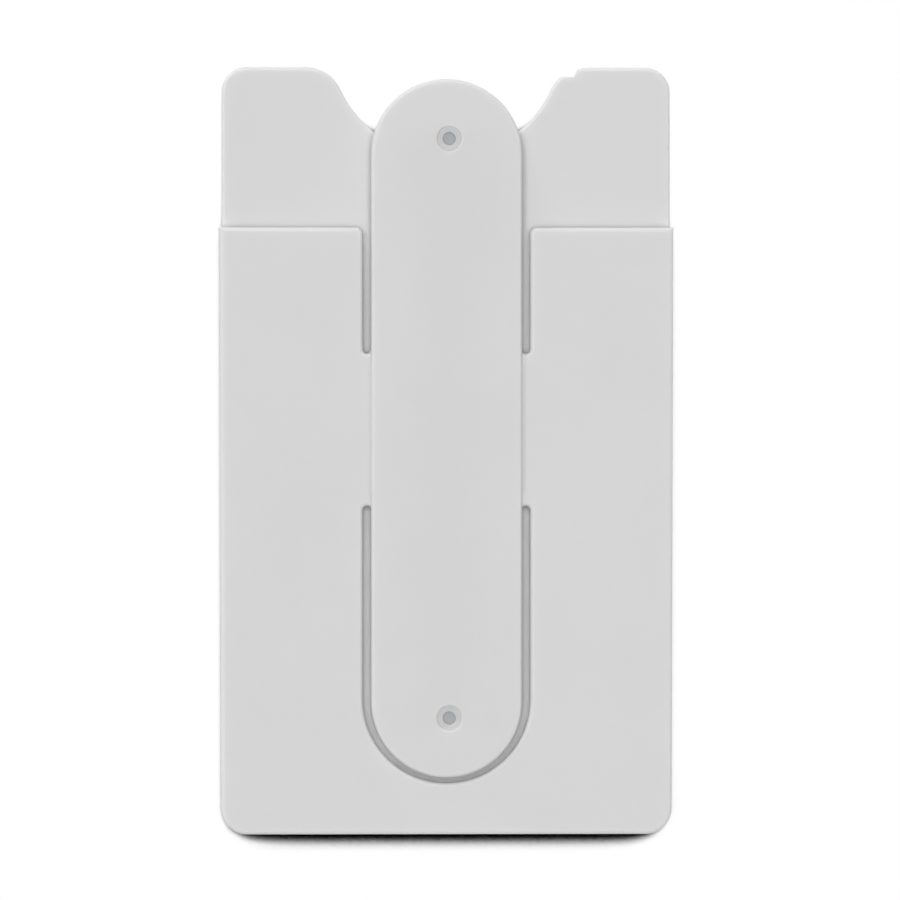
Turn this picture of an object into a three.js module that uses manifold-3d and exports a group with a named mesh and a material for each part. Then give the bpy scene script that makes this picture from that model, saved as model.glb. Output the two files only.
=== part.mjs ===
// A silicone phone wallet: a card pocket that sticks to the back of a phone, with a snap strap down its
// front that folds out as a stand. The wallet is one silicone moulding with a spring-steel strip inside
// its strap, and on its back it carries an adhesive sheet under a peel-off liner.
// Sizes are in millimetres. The wallet lies on its back: +Z points out of its front, +Y towards the two
// ears at its open end and +X to the right, seen from the front. The origin is under the middle of its
// outline.

import * as THREE from "three";
import { mergeVertices } from "three/addons/utils/BufferGeometryUtils.js";
import Module from "manifold-3d";

// The card that the pocket is made for, and the room round it
const CARD_WIDTH = 54;
const CARD_LENGTH = 85.6;
const CARD_CORNER = 3.2;
const CARD_PLAY = 0.25;
const CARD_SHOWN = 10.9; // how far a card stands out of the pocket's mouth
const POCKET_DEPTH = 1; // one card of 0.76, and the silicone stretches for a second

// Walls of the moulding
const PLATE_THICKNESS = 1.2;
const PANEL_THICKNESS = 1.1;
const SIDE_WALL = 1.1;
const BASE_WALL = 1.6;
const MOUTH_FLARE = 0.3; // the pocket is wider at its mouth than at its base, on each side
const PLATE_STEP = 0.15; // the bare plate above the mouth is narrower than the pocket's base, on each side
const BASE_CORNER = 3.27;
const MOUTH_CORNER = 0.5;

// Ears and the thumb notch between them
const EARS_ABOVE_CARD = 9.2;
const EAR_CORNER = 3.14;
const SHOULDER_RADIUS = 4.78;
const NOTCH_RADIUS = 14.65;
const NOTCH_ABOVE_EARS = 3.4; // centre of the notch's circle over the ears' tops

// The nick in the right ear's inner shoulder, from the ear's top and the shoulder's centre
const NICK_DEPTH = 1.15;
const NICK_FROM = 3.4;
const NICK_FLOOR_TO = 1.45;
const NICK_TO = 1;
const NICK_LIP = 0.2;

// Snap strap, with a slot on each side of it above and below the bridge that joins it to the front panel
const STRAP_WIDTH = 19;
const STRAP_RAISE = 0.6;
const STRAP_BELOW_EARS = 1.55;
const STRAP_ABOVE_BASE = 7.1;
const SLOT_WIDTH = 1;
const SLOT_WIDTH_ROUND_END = 0.65;
const UPPER_SLOT_LENGTH = 15.9;
const BRIDGE_LENGTH = 19.2;
const SLOT_MOUTH_CORNER = 0.9;

// Rounded edges
const PLATE_FRONT_EDGE = 0.4;
const PANEL_FRONT_EDGE = 0.4;
const STRAP_FRONT_EDGE = 0.6;
const BACK_EDGE = 0.3;

// Spring-steel strip, cambered across its width, and the holes of the pins that held it in the mould
const STRIP_THICKNESS = 0.2;
const STRIP_CAMBER = 0.4;
const STRIP_MARGIN = 3; // silicone round the strip's outline
const STRIP_CLEARANCE = 0.05;
const PIN_FROM_END = 7.5;
const PIN_OFF_MIDDLE = 0.33; // the pins stood a little to the right of the strap's middle
const PIN_DIAMETER = 1.65;
const PIN_SHOULDER_DIAMETER = 3.07;
const PIN_SHOULDER_DEPTH = 0.25;
const PIN_HOLE_RIM = 0.2;

// Adhesive sheet and its liner
const ADHESIVE_WIDTH = 46;
const ADHESIVE_THICKNESS = 0.4;
const ADHESIVE_MARGIN = 3.5; // bare back between the sheet and the base, and between it and the notch
const ADHESIVE_CORNER = 4;
const LINER_THICKNESS = 0.2;
const LINER_LIP = 1; // how far the liner stands out past the sheet, so that a nail lifts it
const TAB_WIDTH = 16;
const TAB_REACH = 3;

// How round stretches are stepped
const CHORD_ERROR = 0.01;
const EDGE_STEPS = 4;
const CAMBER_STEPS = 12;
const PIN_HOLE_STEPS = 28;
const CUT_PAST = 1; // how far a cutter runs past the face that it opens
const SAME_POINT = 1e-6;
const MERGE_WITHIN = 1e-4;
const LEAST_RADIUS = 0.02;

// Heights of the faces, from the liner's face up
const ADHESIVE_BACK = LINER_THICKNESS;
const PLATE_BACK = ADHESIVE_BACK + ADHESIVE_THICKNESS;
const PLATE_FRONT = PLATE_BACK + PLATE_THICKNESS;
const PANEL_BACK = PLATE_FRONT + POCKET_DEPTH;
const PANEL_FRONT = PANEL_BACK + PANEL_THICKNESS;
const STRAP_FRONT = PANEL_FRONT + STRAP_RAISE;

// Places along the length and the width
const BODY_LENGTH = BASE_WALL + CARD_LENGTH + EARS_ABOVE_CARD;
const BASE_Y = -BODY_LENGTH / 2;
const EAR_Y = BODY_LENGTH / 2;
const MOUTH_Y = BASE_Y + BASE_WALL + CARD_LENGTH - CARD_SHOWN;
const BASE_HALF = CARD_WIDTH / 2 + CARD_PLAY + SIDE_WALL;
const MOUTH_HALF = BASE_HALF + MOUTH_FLARE;
const PLATE_HALF = BASE_HALF - PLATE_STEP;
const NOTCH_Y = EAR_Y + NOTCH_ABOVE_EARS;
const NOTCH_FLOOR_Y = NOTCH_Y - NOTCH_RADIUS;
const SHOULDER_Y = EAR_Y - SHOULDER_RADIUS;
const SHOULDER_X = Math.sqrt((NOTCH_RADIUS + SHOULDER_RADIUS) ** 2 - (NOTCH_Y - SHOULDER_Y) ** 2);
const STRAP_HALF = STRAP_WIDTH / 2;
const STRAP_TOP_Y = EAR_Y - STRAP_BELOW_EARS;
const STRAP_BOTTOM_Y = BASE_Y + STRAP_ABOVE_BASE;
const SLOT_MIDDLE_X = STRAP_HALF + SLOT_WIDTH / 2;
const UPPER_SLOT_END_Y = MOUTH_Y - UPPER_SLOT_LENGTH;
const LOWER_SLOT_END_Y = UPPER_SLOT_END_Y - BRIDGE_LENGTH;
const PIN_YS = [STRAP_TOP_Y - PIN_FROM_END, STRAP_BOTTOM_Y + PIN_FROM_END];
const STRIP_HALF = STRAP_HALF - STRIP_MARGIN;
const STRIP_TOP_Y = STRAP_TOP_Y - STRIP_MARGIN;
const STRIP_BOTTOM_Y = STRAP_BOTTOM_Y + STRIP_MARGIN;
const STRIP_MIDDLE_Z = (PANEL_BACK + STRAP_FRONT) / 2;

const SILICONE = new THREE.MeshStandardMaterial({ color: "#d5d5d5", roughness: 0.6, metalness: 0 });
const SPRING_STEEL = new THREE.MeshStandardMaterial({ color: "#b8babc", roughness: 0.35, metalness: 0.9 });
const ADHESIVE = new THREE.MeshStandardMaterial({ color: "#f1efe8", roughness: 0.7, metalness: 0 });
const LINER_PAPER = new THREE.MeshStandardMaterial({ color: "#e8dfc8", roughness: 0.5, metalness: 0 });

const wasm = await Module();
wasm.setup();

const DEGREE = Math.PI / 180;

// Adds the points of a circular arc, from one angle to another in degrees, without repeating the point
// that the last arc ended on. The number of steps comes from the drawn radius, so that an outline has
// the same points at every inset.
function arc(points, x, y, drawnRadius, grown, from, to) {
  const step = 2 * Math.acos(1 - CHORD_ERROR / drawnRadius);
  const steps = Math.max(2, Math.ceil((Math.abs(to - from) * DEGREE) / step));
  const radius = drawnRadius + grown;
  for (let i = 0; i <= steps; i++) {
    const angle = (from + ((to - from) * i) / steps) * DEGREE;
    const point = new THREE.Vector2(x + radius * Math.cos(angle), y + radius * Math.sin(angle));
    const repeats = points.length > 0 && points.at(-1).distanceTo(point) < SAME_POINT;
    if (!repeats) points.push(point);
  }
}

// Adds a round corner between an upright and a level side, which meet at x, y. It turns left from the
// given angle. An inset that is larger than the corner's radius moves the centre in with it, so that the
// corner stays a corner.
function corner(points, x, y, drawnRadius, inset, from) {
  const away = Math.max(drawnRadius, inset + LEAST_RADIUS);
  const centreX = x - away * Math.sign(Math.cos((from + 45) * DEGREE));
  const centreY = y - away * Math.sign(Math.sin((from + 45) * DEGREE));
  arc(points, centreX, centreY, drawnRadius, away - inset - drawnRadius, from, from + 90);
}

// An outline runs counter-clockwise round its region, and inset moves it into the material by that much.

// Back plate: two round corners at the base, two ears, and the thumb notch that blends into their
// shoulders.
function plateOutline(inset) {
  const points = [];
  const half = PLATE_HALF;
  const base = BASE_Y + PLATE_STEP;
  const tangent = 180 - Math.atan2(NOTCH_Y - SHOULDER_Y, SHOULDER_X) / DEGREE;
  corner(points, -half, base, BASE_CORNER, inset, 180);
  corner(points, half, base, BASE_CORNER, inset, 270);
  corner(points, half, EAR_Y, EAR_CORNER, inset, 0);
  arc(points, SHOULDER_X, SHOULDER_Y, SHOULDER_RADIUS, -inset, 90, tangent);
  arc(points, 0, NOTCH_Y, NOTCH_RADIUS, inset, tangent - 180, -tangent);
  arc(points, -SHOULDER_X, SHOULDER_Y, SHOULDER_RADIUS, -inset, 180 - tangent, 90);
  corner(points, -half, EAR_Y, EAR_CORNER, inset, 90);
  return points;
}

// Pocket: base and flared sides, and a mouth edge that turns down into the two upper slots. The stretch
// between the slots runs under the strap, at the height of their round ends.
function pocketOutline(inset) {
  const points = [];
  const slotEnd = SLOT_WIDTH / 2;
  const endY = UPPER_SLOT_END_Y + slotEnd;
  const slotX = SLOT_MIDDLE_X + slotEnd;
  corner(points, -BASE_HALF, BASE_Y, BASE_CORNER, inset, 180);
  corner(points, BASE_HALF, BASE_Y, BASE_CORNER, inset, 270);
  corner(points, MOUTH_HALF, MOUTH_Y, MOUTH_CORNER, inset, 0);
  corner(points, slotX, MOUTH_Y, SLOT_MOUTH_CORNER, inset, 90);
  arc(points, SLOT_MIDDLE_X, endY, slotEnd, inset, 0, -180);
  arc(points, -SLOT_MIDDLE_X, endY, slotEnd, inset, 0, -180);
  corner(points, -slotX, MOUTH_Y, SLOT_MOUTH_CORNER, inset, 0);
  corner(points, -MOUTH_HALF, MOUTH_Y, MOUTH_CORNER, inset, 90);
  return points;
}

// Window in the pocket's front below the bridge: the two lower slots and the round gap under the strap's
// end.
function lowerWindow(inset) {
  const points = [];
  const slotEnd = SLOT_WIDTH / 2;
  const endY = LOWER_SLOT_END_Y - slotEnd;
  const radius = SLOT_MIDDLE_X + slotEnd;
  const centreY = STRAP_BOTTOM_Y - SLOT_WIDTH_ROUND_END + radius;
  arc(points, SLOT_MIDDLE_X, endY, slotEnd, inset, 0, 180);
  arc(points, -SLOT_MIDDLE_X, endY, slotEnd, inset, 0, 180);
  arc(points, 0, centreY, radius, inset, 180, 360);
  return points;
}

// A long outline with two half-round ends: the strap's, and the steel strip's inside it.
function roundEnded(half, bottom, top, inset) {
  const points = [];
  arc(points, 0, bottom + half, half, -inset, 180, 360);
  arc(points, 0, top - half, half, -inset, 0, 180);
  return points;
}

function roundedRectangle(half, bottom, top, radius, inset) {
  const points = [];
  corner(points, -half, bottom, radius, inset, 180);
  corner(points, half, bottom, radius, inset, 270);
  corner(points, half, top, radius, inset, 0);
  corner(points, -half, top, radius, inset, 90);
  return points;
}

// The levels of a plate from its back face to its front face, each with its height and how far the
// outline is inset: a quarter circle at each face rounds the edge, and a radius of 0 leaves it square.
function levelsOf(back, front, backEdge, frontEdge) {
  const levels = [];
  const backSteps = backEdge > 0 ? EDGE_STEPS : 0;
  const frontSteps = frontEdge > 0 ? EDGE_STEPS : 0;
  for (let i = 0; i <= backSteps; i++) {
    const angle = backSteps ? (i / backSteps) * (Math.PI / 2) : 0;
    const z = back + backEdge * (1 - Math.cos(angle));
    levels.push({ z, inset: backEdge * (1 - Math.sin(angle)) });
  }
  for (let i = 0; i <= frontSteps; i++) {
    const angle = frontSteps ? (i / frontSteps) * (Math.PI / 2) : 0;
    const z = front - frontEdge * (1 - Math.sin(angle));
    levels.push({ z, inset: frontEdge * (1 - Math.cos(angle)) });
  }
  return levels;
}

// A plate drawn level by level: its outlines are joined by side walls, and its back and front faces are
// flat. Each entry of drawn is a function of the inset; the first is the outer outline and the others
// are windows in it.
function plate(drawn, back, front, backEdge = 0, frontEdge = 0) {
  const levels = levelsOf(back, front, backEdge, frontEdge);
  const positions = [];
  const triangle = (...corners) => corners.forEach((p) => positions.push(p.x, p.y, p.z));
  const rings = drawn.map((outline) =>
    levels.map(({ z, inset }) => outline(inset).map((p) => new THREE.Vector3(p.x, p.y, z))),
  );
  rings.forEach((levelsOfOne, which) => {
    for (let k = 0; k + 1 < levels.length; k++) {
      const low = levelsOfOne[k];
      const high = levelsOfOne[k + 1];
      for (let i = 0; i < low.length; i++) {
        const j = (i + 1) % low.length;
        const [a, b] = which === 0 ? [i, j] : [j, i];
        triangle(low[a], low[b], high[b]);
        triangle(low[a], high[b], high[a]);
      }
    }
  });
  for (const [level, up] of [
    [0, false],
    [levels.length - 1, true],
  ]) {
    const [outer, ...windows] = rings.map((levelsOfOne) => levelsOfOne[level]);
    const corners = [outer, ...windows].flat();
    for (const [a, b, c] of THREE.ShapeUtils.triangulateShape(outer, windows)) {
      if (up) triangle(corners[a], corners[b], corners[c]);
      else triangle(corners[a], corners[c], corners[b]);
    }
  }
  const attribute = new THREE.Float32BufferAttribute(positions, 3);
  return solidOf(new THREE.BufferGeometry().setAttribute("position", attribute));
}

// A closed three.js geometry as a solid that can be joined and cut.
function solidOf(geometry) {
  const bare = geometry.index ? geometry.toNonIndexed() : geometry.clone();
  bare.deleteAttribute("normal");
  bare.deleteAttribute("uv");
  const merged = mergeVertices(bare, MERGE_WITHIN);
  return new wasm.Manifold(
    new wasm.Mesh({
      numProp: 3,
      vertProperties: new Float32Array(merged.attributes.position.array),
      triVerts: new Uint32Array(merged.index.array),
    }),
  );
}

// A finished solid as a named mesh.
function meshOf(name, solid, material) {
  const { numProp, vertProperties, triVerts } = solid.getMesh();
  const positions = new Float32Array(triVerts.length * 3);
  triVerts.forEach((vertex, i) => {
    for (let axis = 0; axis < 3; axis++) {
      positions[3 * i + axis] = vertProperties[numProp * vertex + axis];
    }
  });
  const attribute = new THREE.BufferAttribute(positions, 3);
  const geometry = new THREE.BufferGeometry().setAttribute("position", attribute);
  geometry.computeVertexNormals();
  const mesh = new THREE.Mesh(geometry, material);
  mesh.name = name;
  return mesh;
}

// The room for cards between the plate and the front panel, open past the mouth.
function cardSpace() {
  const half = CARD_WIDTH / 2 + CARD_PLAY;
  const round = CARD_CORNER + CARD_PLAY;
  const top = EAR_Y + CUT_PAST + round;
  const outline = (inset) => roundedRectangle(half, BASE_Y + BASE_WALL, top, round, inset);
  return plate([outline], PLATE_FRONT, PANEL_BACK);
}

// A cutter for the nick: a level floor, a steep side and a shallow lip that runs out along the ear's top.
function nick() {
  const floorY = EAR_Y - NICK_DEPTH;
  const lipY = EAR_Y - NICK_LIP;
  const points = [
    [SHOULDER_X - NICK_FROM, floorY],
    [SHOULDER_X - NICK_FLOOR_TO, floorY],
    [SHOULDER_X - NICK_TO, lipY],
    [SHOULDER_X, EAR_Y],
    [SHOULDER_X, EAR_Y + CUT_PAST],
    [SHOULDER_X - NICK_FROM, EAR_Y + CUT_PAST],
  ].map(([x, y]) => new THREE.Vector2(x, y));
  return plate([() => points], PLATE_BACK - CUT_PAST, PLATE_FRONT + CUT_PAST);
}

// A band of the strip's cambered section, thicker by the clearance on both faces, and cut to the strip's
// outline. Its crown faces the front, so that a push on the strap's middle snaps it over.
function camberedBand(clearance) {
  const half = STRIP_HALF + clearance;
  const bendRadius = (STRIP_HALF ** 2 + STRIP_CAMBER ** 2) / (2 * STRIP_CAMBER);
  const centreZ = STRIP_MIDDLE_Z + STRIP_CAMBER / 2 - bendRadius;
  const reach = half + CUT_PAST;
  const points = [];
  const face = (radius, from, to) => {
    for (let i = 0; i <= CAMBER_STEPS; i++) {
      const x = from + ((to - from) * i) / CAMBER_STEPS;
      const z = centreZ + Math.sqrt(radius ** 2 - x ** 2);
      points.push(new THREE.Vector2(x, -z));
    }
  };
  face(bendRadius - STRIP_THICKNESS / 2 - clearance, -reach, reach);
  face(bendRadius + STRIP_THICKNESS / 2 + clearance, reach, -reach);
  const section = new THREE.Shape(points);
  const length = STRIP_TOP_Y - STRIP_BOTTOM_Y + 2 * (clearance + CUT_PAST);
  const band = new THREE.ExtrudeGeometry(section, { depth: length, bevelEnabled: false, steps: 1 });
  band.rotateX(-Math.PI / 2);
  band.translate(0, STRIP_BOTTOM_Y - clearance - CUT_PAST, 0);
  const outline = (inset) => roundEnded(STRIP_HALF, STRIP_BOTTOM_Y, STRIP_TOP_Y, inset - clearance);
  return solidOf(band).intersect(plate([outline], PANEL_BACK, STRAP_FRONT));
}

// The stepped hole that a mould pin leaves: a shallow round recess with a rounded rim on the strap's
// face, and in its middle a narrow hole down to the steel. It is turned round the pin's axis, and its
// end lies inside the strip's thickness, so that the hole opens the strip's seat.
function pinSpace(y) {
  const pin = PIN_DIAMETER / 2;
  const shoulder = PIN_SHOULDER_DIAMETER / 2;
  const endZ = STRIP_MIDDLE_Z + STRIP_CAMBER / 2;
  const shoulderZ = STRAP_FRONT - PIN_SHOULDER_DEPTH;
  const profile = [
    [0, endZ],
    [pin, endZ],
    [pin, shoulderZ],
    [shoulder, shoulderZ],
  ];
  for (let i = 0; i <= EDGE_STEPS; i++) {
    const angle = (i / EDGE_STEPS) * (Math.PI / 2);
    const out = shoulder + PIN_HOLE_RIM * (1 - Math.cos(angle));
    profile.push([out, STRAP_FRONT - PIN_HOLE_RIM * (1 - Math.sin(angle))]);
  }
  profile.push([shoulder + PIN_HOLE_RIM, STRAP_FRONT + CUT_PAST], [0, STRAP_FRONT + CUT_PAST]);
  const turned = new THREE.LatheGeometry(
    profile.map(([x, z]) => new THREE.Vector2(x, z)),
    PIN_HOLE_STEPS,
  );
  turned.rotateX(Math.PI / 2);
  turned.translate(PIN_OFF_MIDDLE, y, 0);
  return solidOf(turned);
}

// The silicone moulding: plate, pocket and strap in one piece, with the steel strip's seat inside the
// strap.
function wallet() {
  const backPlate = plate([plateOutline], PLATE_BACK, PLATE_FRONT, BACK_EDGE, PLATE_FRONT_EDGE);
  const block = [pocketOutline, lowerWindow];
  const pocket = plate(block, PLATE_BACK, PANEL_FRONT, BACK_EDGE, PANEL_FRONT_EDGE);
  const strapOutline = (inset) => roundEnded(STRAP_HALF, STRAP_BOTTOM_Y, STRAP_TOP_Y, inset);
  const strap = plate([strapOutline], PANEL_BACK, STRAP_FRONT, BACK_EDGE, STRAP_FRONT_EDGE);
  let solid = pocket.add(backPlate).subtract(cardSpace()).subtract(nick()).add(strap);
  solid = solid.subtract(camberedBand(STRIP_CLEARANCE));
  for (const y of PIN_YS) solid = solid.subtract(pinSpace(y));
  return solid;
}

const ADHESIVE_BOTTOM_Y = BASE_Y + ADHESIVE_MARGIN;
const ADHESIVE_TOP_Y = NOTCH_FLOOR_Y - ADHESIVE_MARGIN;

function adhesiveOutline(inset) {
  const half = ADHESIVE_WIDTH / 2;
  return roundedRectangle(half, ADHESIVE_BOTTOM_Y, ADHESIVE_TOP_Y, ADHESIVE_CORNER, inset);
}

function adhesiveSheet() {
  return plate([adhesiveOutline], ADHESIVE_BACK, PLATE_BACK);
}

// The liner is the sheet's outline grown by its lip, with a round-cornered tab at the base end to pull
// it off by.
function releaseLiner() {
  const tabEnd = ADHESIVE_BOTTOM_Y - TAB_REACH;
  const tabRoot = ADHESIVE_BOTTOM_Y + TAB_REACH;
  const tab = () => roundedRectangle(TAB_WIDTH / 2, tabEnd, tabRoot, TAB_REACH / 2, 0);
  const grown = () => adhesiveOutline(-LINER_LIP);
  return plate([grown], 0, LINER_THICKNESS).add(plate([tab], 0, LINER_THICKNESS));
}

const group = new THREE.Group();
group.add(
  meshOf("silicone_wallet", wallet(), SILICONE),
  meshOf("spring_strip", camberedBand(0), SPRING_STEEL),
  meshOf("adhesive_sheet", adhesiveSheet(), ADHESIVE),
  meshOf("release_liner", releaseLiner(), LINER_PAPER),
);

export default group;
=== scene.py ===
"""A silicone phone wallet with a snap strap, lying on its back and seen from above.

The silicone is one closed moulding: a back plate with two ears, a card pocket with slots in its
front panel, and a raised strap that a bridge joins to the panel. Sizes are in millimetres until a
mesh is made, and a mesh is in metres.
"""

import math

import bmesh
import bpy
import numpy as np
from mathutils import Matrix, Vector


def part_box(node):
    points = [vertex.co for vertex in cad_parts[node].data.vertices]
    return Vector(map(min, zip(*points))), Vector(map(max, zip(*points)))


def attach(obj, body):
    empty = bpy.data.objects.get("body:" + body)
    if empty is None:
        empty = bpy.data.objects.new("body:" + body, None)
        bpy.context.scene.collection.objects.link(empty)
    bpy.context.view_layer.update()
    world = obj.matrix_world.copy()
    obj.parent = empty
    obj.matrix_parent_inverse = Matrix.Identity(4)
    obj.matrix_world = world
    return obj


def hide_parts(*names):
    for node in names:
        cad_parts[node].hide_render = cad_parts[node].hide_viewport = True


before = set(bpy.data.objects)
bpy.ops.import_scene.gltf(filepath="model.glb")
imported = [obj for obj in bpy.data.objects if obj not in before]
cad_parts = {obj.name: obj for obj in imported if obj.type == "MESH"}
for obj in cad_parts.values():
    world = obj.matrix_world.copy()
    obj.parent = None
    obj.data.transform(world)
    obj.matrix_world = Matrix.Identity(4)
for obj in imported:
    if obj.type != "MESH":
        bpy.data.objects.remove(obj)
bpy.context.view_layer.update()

MM = 0.001


def box_mm(node):
    """The lowest and the highest corner of a node of the frame, in millimetres."""
    low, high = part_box(node)
    return np.array(low) / MM, np.array(high) / MM


SILICONE_LOW, SILICONE_HIGH = box_mm("silicone_wallet")
STRIP_LOW, STRIP_HIGH = box_mm("spring_strip")

# Heights of the faces
PLATE_THICKNESS = 1.2
POCKET_DEPTH = 1.0
PANEL_THICKNESS = 1.1
PLATE_BACK = SILICONE_LOW[2]
PLATE_FRONT = PLATE_BACK + PLATE_THICKNESS
PANEL_BACK = PLATE_FRONT + POCKET_DEPTH
PANEL_FRONT = PANEL_BACK + PANEL_THICKNESS
STRAP_FRONT = SILICONE_HIGH[2]

# Plan of the plate and the pocket
BASE_Y = SILICONE_LOW[1]
EAR_Y = SILICONE_HIGH[1]
MOUTH_HALF = SILICONE_HIGH[0]
MOUTH_FLARE = 0.3
PLATE_STEP = 0.15
BASE_HALF = MOUTH_HALF - MOUTH_FLARE
PLATE_HALF = BASE_HALF - PLATE_STEP
EAR_LENGTH = 20.1
MOUTH_Y = EAR_Y - EAR_LENGTH
BASE_CORNER = 3.27

# The mouth's corners are nearly sharp. Each stands out in a nib of flash, and the mouth's edge
# climbs to it.
MOUTH_CORNER = 0.2
NIB_OUT = 0.1
NIB_DOWN = 0.45
MOUTH_CLIMB = 0.08
CLIMB_REACH = 0.9

# The card space
SIDE_WALL = 1.1
BASE_WALL = 1.6
CARD_CORNER = 3.45
CARD_HALF = BASE_HALF - SIDE_WALL

# Ears and thumb notch
EAR_CORNER = 3.14
SHOULDER_RADIUS = 4.78
NOTCH_RADIUS = 14.65
NOTCH_ABOVE_EARS = 3.4
NOTCH_Y = EAR_Y + NOTCH_ABOVE_EARS
SHOULDER_Y = EAR_Y - SHOULDER_RADIUS
SHOULDER_X = math.sqrt((NOTCH_RADIUS + SHOULDER_RADIUS) ** 2 - (NOTCH_Y - SHOULDER_Y) ** 2)

# The nick in the right ear's shoulder, from the ear's top and the shoulder's centre
NICK_DEPTH = 1.15
NICK_FROM = 3.4
NICK_FLOOR_TO = 1.45
NICK_TO = 1.0
NICK_LIP = 0.2

# Strap, its slots and the bridge between them
STRAP_HALF = 9.5
STRAP_BELOW_EARS = 1.55
STRAP_ABOVE_BASE = 7.1
STRAP_TOP_Y = EAR_Y - STRAP_BELOW_EARS
STRAP_BOTTOM_Y = BASE_Y + STRAP_ABOVE_BASE
STRAP_CROWN = 0.16
SLOT_WIDTH = 1.0
SLOT_WIDTH_ROUND_END = 0.65
SLOT_MOUTH_CORNER = 0.9
UPPER_SLOT_LENGTH = 15.9
BRIDGE_LENGTH = 19.2
SLOT_X = STRAP_HALF + SLOT_WIDTH / 2
SLOT_OUTER_X = STRAP_HALF + SLOT_WIDTH
UPPER_SLOT_END_Y = MOUTH_Y - UPPER_SLOT_LENGTH
LOWER_SLOT_END_Y = UPPER_SLOT_END_Y - BRIDGE_LENGTH

# The hollow fillet at the strap's foot along the bridge
FOOT_OUT = 0.6
FOOT_UP = 0.34
FOOT_SINK = 0.1
FOOT_FROM_SLOT = 0.5
FOOT_FADE = 1.5

# Rounded edges, and the least radius to which an inset shrinks a corner
PLATE_EDGE = 0.4
PANEL_EDGE = 0.55
STRAP_EDGE = 0.45
BACK_EDGE = 0.3
LEAST_RADIUS = 0.02

# Seat of the steel strip, and the stepped holes of the pins that held it in the mould, which lie
# a little to the right of the strap's middle
STRIP_THICKNESS = 0.2
STRIP_CAMBER = 0.4
SEAT_CLEARANCE = 0.05
STRIP_HALF = STRIP_HIGH[0]
STRIP_MIDDLE_Z = (PANEL_BACK + STRAP_FRONT) / 2
PIN_FROM_END = 7.5
PIN_X = 0.33
PIN_YS = (STRAP_TOP_Y - PIN_FROM_END, STRAP_BOTTOM_Y + PIN_FROM_END)
PIN_RADIUS = 0.825
PIN_SHOULDER_RADIUS = 1.535
PIN_SHOULDER_DEPTH = 0.25
PIN_RIM = 0.2

# How curves are stepped, and when points count as one and edges as sharp
ARC_STEP = math.radians(3)
EDGE_STEPS = 10
MOUTH_STEPS = 40
STRAP_STEPS = 60
CROWN_STEPS = 15
CAMBER_STEPS = 24
FOOT_STEPS = 8
PIN_STEPS = 96
SAME_POINT = 1e-6
MERGE_WITHIN = 1e-4
SHARP_ANGLE = math.radians(40)

# How far a cutter runs past the face that it opens
PAST = 1.0

# The photograph's side in pixels, and its pixel over the wallet's origin
PHOTO_SIDE = 900
PHOTO_ORIGIN_X = 446.2
PHOTO_ORIGIN_Y = 450.5
MM_PER_PIXEL = 0.1257

# The camera
CAMERA_DISTANCE = 1400
CAMERA_YAW = math.radians(2.3)
CLIP_NEAR = 10
CLIP_FAR = 5000

# The floor, and its shade: how far it looks for the wallet, the direction from which it counts the
# sky, and the shares of open sky at which the glow starts and is full
FLOOR_HALF = 600
SHADE_REACH = 40
SHADE_SIDE = -0.03
SHADE_ALONG = 0.5
SHADE_UP = 0.866
SHADE_DARK = 0.403
SHADE_CLEAR = 0.566

# Strengths of the lights
WORLD_LIGHT = 0.14
FRONT_LIGHT = 0.845
UPPER_LIGHT = 0.3


# Outlines

def arc(x, y, radius, start, end):
    """A stretch of circle: the centre plus the radius times the cosine and sine of an angle that runs
    evenly from start to end, in degrees. The angles alone set the number of points, so that it is
    the same at every inset."""
    sweep = math.radians(end - start)
    count = max(3, math.ceil(abs(sweep) / ARC_STEP))
    angle = math.radians(start) + sweep * np.linspace(0, 1, count + 1)
    return np.column_stack([x + radius * np.cos(angle), y + radius * np.sin(angle)])


def corner(x, y, radius, inset, start):
    """A quarter circle, turning left from start degrees, in the corner at x, y between an upright and
    a level side. Its centre lies the radius in from both sides, or a little more than the inset where
    that is more, so that the corner stays a corner at every inset."""
    away = max(radius, inset + LEAST_RADIUS)
    turn = math.radians(start + 45)
    centre_x = x - away * np.sign(math.cos(turn))
    centre_y = y - away * np.sign(math.sin(turn))
    return arc(centre_x, centre_y, away - inset, start, start + 90)


def closed(*stretches):
    """The stretches one after another, without the points that repeat where two of them meet."""
    points = np.concatenate(stretches)
    step = np.linalg.norm(points - np.roll(points, 1, axis=0), axis=1)
    return points[step > SAME_POINT]


def plate_outline(inset):
    """Base corners, ears with their shoulders, and the notch's circle that touches both shoulders."""
    base = BASE_Y + PLATE_STEP
    touch = 180 - math.degrees(math.atan2(NOTCH_Y - SHOULDER_Y, SHOULDER_X))
    shoulder = SHOULDER_RADIUS - inset
    return closed(
        corner(-PLATE_HALF, base, BASE_CORNER, inset, 180),
        corner(PLATE_HALF, base, BASE_CORNER, inset, 270),
        corner(PLATE_HALF, EAR_Y, EAR_CORNER, inset, 0),
        arc(SHOULDER_X, SHOULDER_Y, shoulder, 90, touch),
        arc(0, NOTCH_Y, NOTCH_RADIUS + inset, touch - 180, -touch),
        arc(-SHOULDER_X, SHOULDER_Y, shoulder, 180 - touch, 90),
        corner(-PLATE_HALF, EAR_Y, EAR_CORNER, inset, 90),
    )


def mouth_edge(inset):
    """The right half of the mouth's edge, from its corner in to the slot. It is level, and towards the
    corner it climbs by MOUTH_CLIMB times e to the minus distance over CLIMB_REACH."""
    away = max(MOUTH_CORNER, inset + LEAST_RADIUS)
    x = np.linspace(MOUTH_HALF - away, SLOT_OUTER_X + SLOT_MOUTH_CORNER, MOUTH_STEPS)
    climb = MOUTH_CLIMB * (np.exp((x - MOUTH_HALF) / CLIMB_REACH) - 1)
    return np.column_stack([x, MOUTH_Y + climb - inset])


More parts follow.
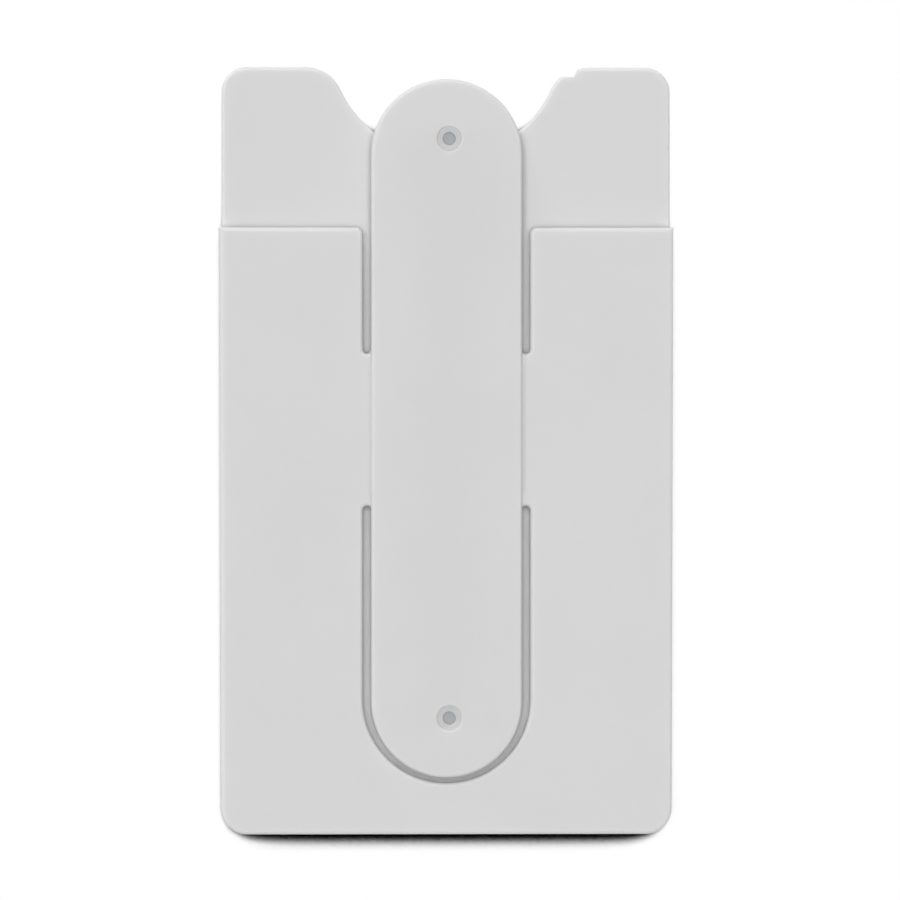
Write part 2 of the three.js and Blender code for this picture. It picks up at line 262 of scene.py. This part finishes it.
def pocket_half(inset):
    """The right half of the pocket's outline, from the base's middle to the mouth: the base's corner,
    the flared side, the nib of flash, the mouth's edge, and the upper slot with its round end."""
    slot_end = SLOT_WIDTH / 2 + inset
    slot_y = UPPER_SLOT_END_Y + SLOT_WIDTH / 2
    level = MOUTH_Y - MOUTH_CLIMB
    return np.concatenate([
        corner(BASE_HALF, BASE_Y, BASE_CORNER, inset, 270),
        [[MOUTH_HALF - NIB_OUT - inset, MOUTH_Y - NIB_DOWN - inset]],
        corner(MOUTH_HALF, MOUTH_Y, MOUTH_CORNER, inset, 0),
        mouth_edge(inset),
        corner(SLOT_OUTER_X, level, SLOT_MOUTH_CORNER, inset, 90),
        arc(SLOT_X, slot_y, slot_end, 0, -180),
    ])


def pocket_outline(inset):
    """The pocket's right half and its mirror image, joined by a level stretch under the strap."""
    right = pocket_half(inset)
    return closed(right, right[::-1] * [-1, 1])


def window_outline(inset):
    """The two lower slots' round tops and the half circle that joins them under the strap's end."""
    slot_end = SLOT_WIDTH / 2 - inset
    slot_y = LOWER_SLOT_END_Y - SLOT_WIDTH / 2
    centre_y = STRAP_BOTTOM_Y - SLOT_WIDTH_ROUND_END + SLOT_OUTER_X
    return closed(
        arc(SLOT_X, slot_y, slot_end, 0, 180),
        arc(-SLOT_X, slot_y, slot_end, 0, 180),
        arc(0, centre_y, SLOT_OUTER_X - inset, 180, 360),
    )


def strap_outline(inset):
    """Two half circles joined by straight sides, which are divided so that the crown can follow them."""
    radius = max(STRAP_HALF - inset, 0)
    bottom = STRAP_BOTTOM_Y + STRAP_HALF
    top = STRAP_TOP_Y - STRAP_HALF
    up = np.linspace(bottom, top, STRAP_STEPS)[1:-1]
    side = np.full(len(up), radius)
    return np.concatenate([
        arc(0, bottom, radius, 180, 360),
        np.column_stack([side, up]),
        arc(0, top, radius, 0, 180),
        np.column_stack([-side, up[::-1]]),
    ])


def card_outline(inset):
    """The card space, square at the end that runs out past the ears."""
    top = EAR_Y + PAST
    return closed(
        corner(-CARD_HALF, BASE_Y + BASE_WALL, CARD_CORNER, inset, 180),
        corner(CARD_HALF, BASE_Y + BASE_WALL, CARD_CORNER, inset, 270),
        np.array([[CARD_HALF, top], [-CARD_HALF, top]]),
    )


def nick_outline(inset):
    """The nick in the right ear's shoulder: a level floor, a steep side and a shallow lip."""
    return np.array([
        [SHOULDER_X - NICK_FROM, EAR_Y - NICK_DEPTH],
        [SHOULDER_X - NICK_FLOOR_TO, EAR_Y - NICK_DEPTH],
        [SHOULDER_X - NICK_TO, EAR_Y - NICK_LIP],
        [SHOULDER_X, EAR_Y],
        [SHOULDER_X, EAR_Y + PAST],
        [SHOULDER_X - NICK_FROM, EAR_Y + PAST],
    ])


# Solids

def front_quarter(radius):
    """Height below a front face and inset along its rounded edge: a quarter circle, as the radius
    times one minus the sine and one minus the cosine of an angle."""
    angle = np.linspace(0, math.pi / 2, EDGE_STEPS + 1)
    return np.column_stack([-radius * (1 - np.sin(angle)), radius * (1 - np.cos(angle))])


def plate_levels(back, front, back_edge, front_edge):
    """Heights and insets of a plate's rings, from its back face up round both edges to its front."""
    low = front_quarter(back_edge)[::-1] * [-1, 1] if back_edge else np.zeros((1, 2))
    high = front_quarter(front_edge) if front_edge else np.zeros((1, 2))
    return np.concatenate([low + [back, 0], high + [front, 0]])


def cutter_levels(back, front, rim):
    """Heights and insets of a cutter that flares by a quarter circle as it leaves the front face."""
    flare = front_quarter(rim) * [1, -1] + [front, 0]
    return np.concatenate([[[back, 0]], flare, [[front + PAST, -rim]]])


def loft(name, rings, cap_front=True):
    """A closed surface through rings of the same number of points: quads between neighbouring rings,
    and a flat face on the first ring and on the last. rings is an array of levels by points by 3."""
    levels, count, _ = rings.shape
    here = np.arange(count)
    after = np.roll(here, -1)
    level = np.arange(levels - 1)[:, None] * count
    above = level + count
    quads = np.stack([level + here, level + after, above + after, above + here], axis=2)
    faces = quads.reshape(-1, 4).tolist()
    faces.append(here[::-1].tolist())
    if cap_front:
        faces.append((here + (levels - 1) * count).tolist())
    mesh = bpy.data.meshes.new(name)
    mesh.from_pydata((rings.reshape(-1, 3) * MM).tolist(), [], faces)
    piece = bpy.data.objects.new(name, mesh)
    bpy.context.scene.collection.objects.link(piece)
    return piece


def rings_of(outline, levels):
    """An outline drawn at each level's inset and lifted to its height."""
    rings = []
    for height, inset in levels:
        points = outline(inset)
        rings.append(np.column_stack([points, np.full(len(points), height)]))
    return np.stack(rings)


def plate(name, outline, back, front, back_edge=0.0, front_edge=0.0):
    """An outline carried from a back height to a front height, with rounded edges."""
    return loft(name, rings_of(outline, plate_levels(back, front, back_edge, front_edge)))


def strap():
    """The strap's rings run from its back face round the edges, then inwards over its front to the
    line along its middle. The front falls away from that line by STRAP_CROWN times the square of the
    share of the way to the edge, as the cambered steel shapes it. The crown is full at both ends and
    half as high over the bridge, with a smooth step between."""
    edge = plate_levels(PANEL_BACK, STRAP_FRONT, BACK_EDGE, STRAP_EDGE)
    across = np.linspace(STRAP_EDGE, STRAP_HALF, CROWN_STEPS)[1:]
    top = np.column_stack([np.full(len(across), STRAP_FRONT), across])
    levels = np.concatenate([edge, top])
    rings = rings_of(strap_outline, levels)
    inset = levels[:, 1][:, None]
    outwards = np.clip(1 - (inset - STRAP_EDGE) / (STRAP_HALF - STRAP_EDGE), 0, 1)
    y = rings[:, :, 1]
    above = (y - UPPER_SLOT_END_Y) / (STRAP_TOP_Y - UPPER_SLOT_END_Y)
    below = (LOWER_SLOT_END_Y - y) / (LOWER_SLOT_END_Y - STRAP_BOTTOM_Y)
    free = np.clip(2 * np.maximum(above, below), 0, 1)
    height = STRAP_CROWN * (1 + free * free * (3 - 2 * free)) / 2
    on_front = rings[:, :, 2] > STRIP_MIDDLE_Z
    rings[:, :, 2] -= np.where(on_front, height * outwards ** 2, 0)
    piece = loft("strap", rings, cap_front=False)
    merge_doubles(piece)
    return piece


def strap_foot(side):
    """The hollow fillet between the bridge's face and the strap's flank: a quarter of an ellipse that
    runs from the face up the flank, carried along the bridge, and shrunk to nothing at both ends."""
    low = LOWER_SLOT_END_Y + FOOT_FROM_SLOT
    high = UPPER_SLOT_END_Y - FOOT_FROM_SLOT
    y = np.linspace(low, high, STRAP_STEPS)
    size = np.clip(np.minimum(y - low, high - y) / FOOT_FADE, LEAST_RADIUS, 1)[:, None]
    angle = np.linspace(0, math.pi / 2, FOOT_STEPS)
    inner = STRAP_HALF - FOOT_SINK
    x = inner + (FOOT_OUT + FOOT_SINK) * size * (1 - np.sin(angle))
    z = PANEL_FRONT + FOOT_UP * size * (1 - np.cos(angle))
    ends = np.broadcast_to(y[:, None], x.shape)
    rings = np.stack([side * x, ends, z], axis=2)
    sunk = rings[:, :1] - [0, 0, FOOT_SINK]
    inside = np.stack([np.full(len(y), side * inner), y, np.full(len(y), PANEL_FRONT - FOOT_SINK)], axis=1)
    rings = np.concatenate([sunk, rings, inside[:, None]], axis=1)
    return loft("strap_foot", rings if side < 0 else rings[:, ::-1])


def merge_doubles(piece):
    """Joins points that lie on each other."""
    grid = bmesh.new()
    grid.from_mesh(piece.data)
    bmesh.ops.remove_doubles(grid, verts=grid.verts, dist=MERGE_WITHIN * MM)
    grid.to_mesh(piece.data)
    grid.free()


def strip_seat():
    """A band of cambered section, which is an arc of the camber's circle thickened by the steel and
    its clearance, carried straight along the strap as far as its round ends let its full width go."""
    bend = (STRIP_HALF ** 2 + STRIP_CAMBER ** 2) / (2 * STRIP_CAMBER)
    centre_z = STRIP_MIDDLE_Z + STRIP_CAMBER / 2 - bend
    half = STRIP_HALF + SEAT_CLEARANCE
    x = np.linspace(-half, half, CAMBER_STEPS + 1)
    thick = STRIP_THICKNESS / 2 + SEAT_CLEARANCE
    below = centre_z + np.sqrt((bend - thick) ** 2 - x ** 2)
    above = centre_z + np.sqrt((bend + thick) ** 2 - x ** 2)
    section_x = np.concatenate([x, x[::-1]])
    section_z = np.concatenate([below, above[::-1]])
    top = STRIP_HIGH[1] - half / 2
    bottom = STRIP_LOW[1] + half / 2
    rings = [np.column_stack([section_x, np.full(len(section_x), y), section_z]) for y in (top, bottom)]
    return loft("strip_seat", np.stack(rings))


def pin_space(y):
    """The mould pin turned round its axis, as a profile of radius and height: the narrow tip down to
    the steel, the shallow shoulder, and the quarter circle of the rim."""
    tip = STRIP_MIDDLE_Z + STRIP_CAMBER / 2
    shoulder = STRAP_FRONT - PIN_SHOULDER_DEPTH
    rim = front_quarter(PIN_RIM)
    profile = np.concatenate([
        [[PIN_RADIUS, tip], [PIN_RADIUS, shoulder], [PIN_SHOULDER_RADIUS, shoulder]],
        np.column_stack([PIN_SHOULDER_RADIUS + rim[:, 1], STRAP_FRONT + rim[:, 0]]),
        [[PIN_SHOULDER_RADIUS + PIN_RIM, STRAP_FRONT + PAST]],
    ])
    turn = np.linspace(0, 2 * math.pi, PIN_STEPS, endpoint=False)
    radius = profile[:, :1]
    height = profile[:, 1:]
    x = PIN_X + radius * np.cos(turn)
    rings = np.stack([x, y + radius * np.sin(turn), np.broadcast_to(height, x.shape)], axis=2)
    return loft("pin_space", rings)


def combine(piece, other, operation):
    """Joins other to piece, or cuts it from piece, and puts the result into piece's mesh."""
    step = piece.modifiers.new("combine", "BOOLEAN")
    step.operation = operation
    step.solver = "MANIFOLD"
    step.object = other
    bake_modifiers(piece)
    bpy.data.objects.remove(other)


def bake_modifiers(piece):
    """Puts the piece's modifiers into its mesh."""
    seen = piece.evaluated_get(bpy.context.evaluated_depsgraph_get())
    mesh = bpy.data.meshes.new_from_object(seen)
    piece.modifiers.clear()
    old = piece.data
    piece.data = mesh
    bpy.data.meshes.remove(old)


def soften(piece):
    """Smooth shading that breaks at sharp edges, with normals weighted by the faces' areas, so that
    flat faces stay flat."""
    grid = bmesh.new()
    grid.from_mesh(piece.data)
    for edge in grid.edges:
        edge.smooth = len(edge.link_faces) == 2 and edge.calc_face_angle(0) < SHARP_ANGLE
    for face in grid.faces:
        face.smooth = True
    grid.to_mesh(piece.data)
    grid.free()
    step = piece.modifiers.new("weighted", "WEIGHTED_NORMAL")
    step.mode = "FACE_AREA"
    step.keep_sharp = True
    bake_modifiers(piece)


def silicone_moulding():
    """The whole moulding: pocket and plate joined, the card space, the window and the nick cut, the
    strap and its feet joined, and the steel's seat and the pin holes cut into it."""
    moulding = plate("silicone_moulding", pocket_outline, PLATE_BACK, PANEL_FRONT, BACK_EDGE, PANEL_EDGE)
    back = plate("back_plate", plate_outline, PLATE_BACK, PLATE_FRONT, BACK_EDGE, PLATE_EDGE)
    combine(moulding, back, "UNION")
    combine(moulding, plate("card_space", card_outline, PLATE_FRONT, PANEL_BACK), "DIFFERENCE")
    inside_pocket = (PLATE_FRONT + PANEL_BACK) / 2
    window_levels = cutter_levels(inside_pocket, PANEL_FRONT, PANEL_EDGE)
    combine(moulding, loft("window", rings_of(window_outline, window_levels)), "DIFFERENCE")
    combine(moulding, plate("nick", nick_outline, PLATE_BACK - PAST, PLATE_FRONT + PAST), "DIFFERENCE")
    combine(moulding, strap(), "UNION")
    for side in (-1, 1):
        combine(moulding, strap_foot(side), "UNION")
    combine(moulding, strip_seat(), "DIFFERENCE")
    for y in PIN_YS:
        combine(moulding, pin_space(y), "DIFFERENCE")
    soften(moulding)
    return moulding


# Materials

def to_linear(code):
    """A colour written as sRGB hex, as linear values."""
    values = np.array([int(code[i:i + 2], 16) for i in (1, 3, 5)]) / 255
    linear = np.where(values <= 0.04045, values / 12.92, ((values + 0.055) / 1.055) ** 2.4)
    return (*linear.tolist(), 1.0)


def node(tree, kind, settings=None, **inputs):
    """Adds one node. settings are its own properties. inputs go to its sockets, by name with
    underscores for spaces, or by number after an i: a socket of another node is linked, and anything
    else is set as a value."""
    made = tree.nodes.new(kind)
    for key, value in (settings or {}).items():
        setattr(made, key, value)
    for key, value in inputs.items():
        numbered = key[0] == "i" and key[1:].isdigit()
        socket = made.inputs[int(key[1:]) if numbered else key.replace("_", " ")]
        if isinstance(value, bpy.types.NodeSocket):
            tree.links.new(value, socket)
        else:
            socket.default_value = value
    return made


def new_material(name):
    """A material with nodes, with its tree and its Principled shader."""
    made = bpy.data.materials.new(name)
    made.use_nodes = True
    return made, made.node_tree, made.node_tree.nodes["Principled BSDF"]


def per_mm(size):
    """The scale of a noise texture on Object coordinates, in metres, for features of size mm."""
    return 1 / (size * MM)


def two_tone(tree, shader, share, first, second):
    """Mixes two hex colours by a texture's value into the shader's base colour. In the Mix node, inputs
    6 and 7 are the colours, and output 2 is the mixed one."""
    tone = node(tree, "ShaderNodeMix", {"data_type": "RGBA"}, i0=share)
    tone.inputs[6].default_value = to_linear(first)
    tone.inputs[7].default_value = to_linear(second)
    tree.links.new(tone.outputs[2], shader.inputs["Base Color"])


def moulded_silicone():
    """Pale grey silicone rubber from a finely eroded steel mould: matt, with light that soaks about a
    millimetre into it and softens its edges, and an unevenness that shows only at a low angle. The
    eroded grain is about 0.1 mm on the real one, and is drawn at 0.3 mm so that it shows."""
    made, tree, shader = new_material("moulded_silicone")
    place = node(tree, "ShaderNodeTexCoord").outputs["Object"]
    cloud = node(tree, "ShaderNodeTexNoise", Vector=place, Scale=per_mm(14), Detail=3.0, Roughness=0.5)
    two_tone(tree, shader, cloud.outputs["Fac"], "#D3D3D3", "#D7D7D7")
    grain = node(tree, "ShaderNodeTexNoise", Vector=place, Scale=per_mm(0.3), Detail=2.0, Roughness=0.6)
    swell = node(tree, "ShaderNodeTexNoise", Vector=place, Scale=per_mm(9), Detail=1.0, Roughness=0.5)
    slow = node(tree, "ShaderNodeBump", Strength=0.15, Distance=0.05 * MM, Height=swell.outputs["Fac"])
    fine = node(tree, "ShaderNodeBump", Strength=0.25, Distance=0.012 * MM,
                Height=grain.outputs["Fac"], Normal=slow.outputs["Normal"])
    tree.links.new(fine.outputs["Normal"], shader.inputs["Normal"])
    shader.inputs["Roughness"].default_value = 0.8
    shader.inputs["IOR"].default_value = 1.41
    shader.inputs["Subsurface Weight"].default_value = 1.0
    shader.inputs["Subsurface Radius"].default_value = (1.0, 1.0, 1.0)
    shader.inputs["Subsurface Scale"].default_value = 1.1 * MM
    return made


def rolled_spring_steel():
    """Cold-rolled spring steel, blasted so that silicone grips it: dull grey, with faint rolling lines
    along the strip. They are about 0.02 mm apart on the real one, and are drawn 0.12 mm apart."""
    made, tree, shader = new_material("rolled_spring_steel")
    place = node(tree, "ShaderNodeTexCoord").outputs["Object"]
    along = node(tree, "ShaderNodeMapping", Vector=place, Scale=(1.0, 0.03, 1.0))
    lines = node(tree, "ShaderNodeTexNoise", Vector=along.outputs["Vector"], Scale=per_mm(0.12), Detail=3.0)
    two_tone(tree, shader, lines.outputs["Fac"], "#8A8C8E", "#989A9C")
    rough = node(tree, "ShaderNodeMapRange", Value=lines.outputs["Fac"], To_Min=0.7, To_Max=0.8)
    tree.links.new(rough.outputs["Result"], shader.inputs["Roughness"])
    bump = node(tree, "ShaderNodeBump", Strength=0.2, Distance=0.004 * MM, Height=lines.outputs["Fac"])
    tree.links.new(bump.outputs["Normal"], shader.inputs["Normal"])
    shader.inputs["Metallic"].default_value = 1.0
    return made


def acrylic_adhesive():
    """Milky acrylic foam adhesive: slightly glossy at its cut edge, with a fine mottle of cells."""
    made, tree, shader = new_material("acrylic_foam_adhesive")
    place = node(tree, "ShaderNodeTexCoord").outputs["Object"]
    mottle = node(tree, "ShaderNodeTexNoise", Vector=place, Scale=per_mm(0.5), Detail=3.0)
    two_tone(tree, shader, mottle.outputs["Fac"], "#E9E7E1", "#F4F3EF")
    bump = node(tree, "ShaderNodeBump", Strength=0.3, Distance=0.01 * MM, Height=mottle.outputs["Fac"])
    tree.links.new(bump.outputs["Normal"], shader.inputs["Normal"])
    shader.inputs["Roughness"].default_value = 0.45
    return made


def glassine_liner():
    """Siliconised glassine paper: honey-coloured, smooth and faintly glossy, with soft fibre clouds."""
    made, tree, shader = new_material("siliconised_glassine")
    place = node(tree, "ShaderNodeTexCoord").outputs["Object"]
    cloud = node(tree, "ShaderNodeTexNoise", Vector=place, Scale=per_mm(2.5), Detail=6.0, Roughness=0.65)
    two_tone(tree, shader, cloud.outputs["Fac"], "#E3D8BC", "#EFE7D2")
    across = node(tree, "ShaderNodeMapping", Vector=place, Scale=(1.0, 0.2, 1.0))
    fibre = node(tree, "ShaderNodeTexNoise", Vector=across.outputs["Vector"], Scale=per_mm(0.35), Detail=4.0)
    bump = node(tree, "ShaderNodeBump", Strength=0.2, Distance=0.01 * MM, Height=fibre.outputs["Fac"])
    tree.links.new(bump.outputs["Normal"], shader.inputs["Normal"])
    shader.inputs["Roughness"].default_value = 0.38
    return made


def dress(piece, material):
    """Gives a piece its material."""
    piece.data.materials.clear()
    piece.data.materials.append(material)


# Stage

def studio_floor():
    """A white surface under the wallet. It glows evenly at a strength of 1, less where the wallet hides
    the sky above it, and the sky is counted from a direction that leans towards the ears, so that
    the shade lies at the base."""
    side = FLOOR_HALF * MM
    mesh = bpy.data.meshes.new("studio_floor")
    mesh.from_pydata([(-side, -side, 0), (side, -side, 0), (side, side, 0), (-side, side, 0)], [],
                     [(0, 1, 2, 3)])
    floor = bpy.data.objects.new("studio_floor", mesh)
    bpy.context.scene.collection.objects.link(floor)
    made, tree, shader = new_material("studio_white")
    tree.nodes.remove(shader)
    lean = node(tree, "ShaderNodeCombineXYZ", X=SHADE_SIDE, Y=SHADE_ALONG, Z=SHADE_UP)
    sky = node(tree, "ShaderNodeAmbientOcclusion", {"samples": 32}, Distance=SHADE_REACH * MM,
               Normal=lean.outputs["Vector"])
    shade = node(tree, "ShaderNodeMapRange", {"interpolation_type": "SMOOTHSTEP"},
                 Value=sky.outputs["AO"], From_Min=SHADE_DARK, From_Max=SHADE_CLEAR)
    glow = node(tree, "ShaderNodeEmission", Strength=shade.outputs["Result"])
    tree.links.new(glow.outputs["Emission"], tree.nodes["Material Output"].inputs["Surface"])
    made.cycles.emission_sampling = "NONE"
    mesh.materials.append(made)


def far_softbox(name, lean, azimuth, spread, level):
    """A broad lamp, so far off that every face gets the same light. It stands lean degrees from
    straight above, towards an azimuth from +X, and spread degrees wide."""
    lamp = bpy.data.lights.new(name, "SUN")
    lamp.angle = math.radians(spread)
    lamp.energy = level * math.pi
    made = bpy.data.objects.new(name, lamp)
    bpy.context.scene.collection.objects.link(made)
    made.rotation_euler = (0, math.radians(lean), math.radians(azimuth))


def studio_world():
    """A plain even light on the wallet, which the camera, reflections and clear things see as white."""
    world = bpy.data.worlds.new("studio")
    bpy.context.scene.world = world
    world.use_nodes = True
    tree = world.node_tree
    tree.nodes.clear()
    path = node(tree, "ShaderNodeLightPath").outputs
    seen = node(tree, "ShaderNodeMath", {"operation": "MAXIMUM"},
                i0=path["Is Camera Ray"], i1=path["Is Glossy Ray"])
    seen = node(tree, "ShaderNodeMath", {"operation": "MAXIMUM"},
                i0=seen.outputs["Value"], i1=path["Is Transmission Ray"])
    level = node(tree, "ShaderNodeMapRange", Value=seen.outputs["Value"], To_Min=WORLD_LIGHT, To_Max=1.0)
    sky = node(tree, "ShaderNodeBackground", Color=(1, 1, 1, 1), Strength=level.outputs["Result"])
    node(tree, "ShaderNodeOutputWorld", Surface=sky.outputs["Background"])


def photo_camera():
    """A long lens above the wallet and a little to its left, framed so that a pixel of the photograph
    covers the same width on the wallet."""
    lens = bpy.data.cameras.new("camera")
    lens.lens = lens.sensor_width * CAMERA_DISTANCE / (PHOTO_SIDE * MM_PER_PIXEL)
    camera = bpy.data.objects.new("camera", lens)
    bpy.context.scene.collection.objects.link(camera)
    middle = PHOTO_SIDE / 2
    x = (middle - PHOTO_ORIGIN_X) * MM_PER_PIXEL - CAMERA_DISTANCE * math.sin(CAMERA_YAW)
    y = (PHOTO_ORIGIN_Y - middle) * MM_PER_PIXEL
    z = PANEL_BACK + CAMERA_DISTANCE * math.cos(CAMERA_YAW)
    camera.location = (x * MM, y * MM, z * MM)
    camera.rotation_euler = (0, -CAMERA_YAW, 0)
    lens.clip_start = CLIP_NEAR * MM
    lens.clip_end = CLIP_FAR * MM
    bpy.context.scene.camera = camera


bpy.context.scene.view_settings.view_transform = "Standard"

moulding = silicone_moulding()
dress(moulding, moulded_silicone())
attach(moulding, "root")
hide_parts("silicone_wallet")

dress(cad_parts["spring_strip"], rolled_spring_steel())
dress(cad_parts["adhesive_sheet"], acrylic_adhesive())
dress(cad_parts["release_liner"], glassine_liner())

studio_floor()
studio_world()
far_softbox("front_softbox", lean=5, azimuth=145, spread=43, level=FRONT_LIGHT)
far_softbox("upper_softbox", lean=80, azimuth=112, spread=30, level=UPPER_LIGHT)
photo_camera()
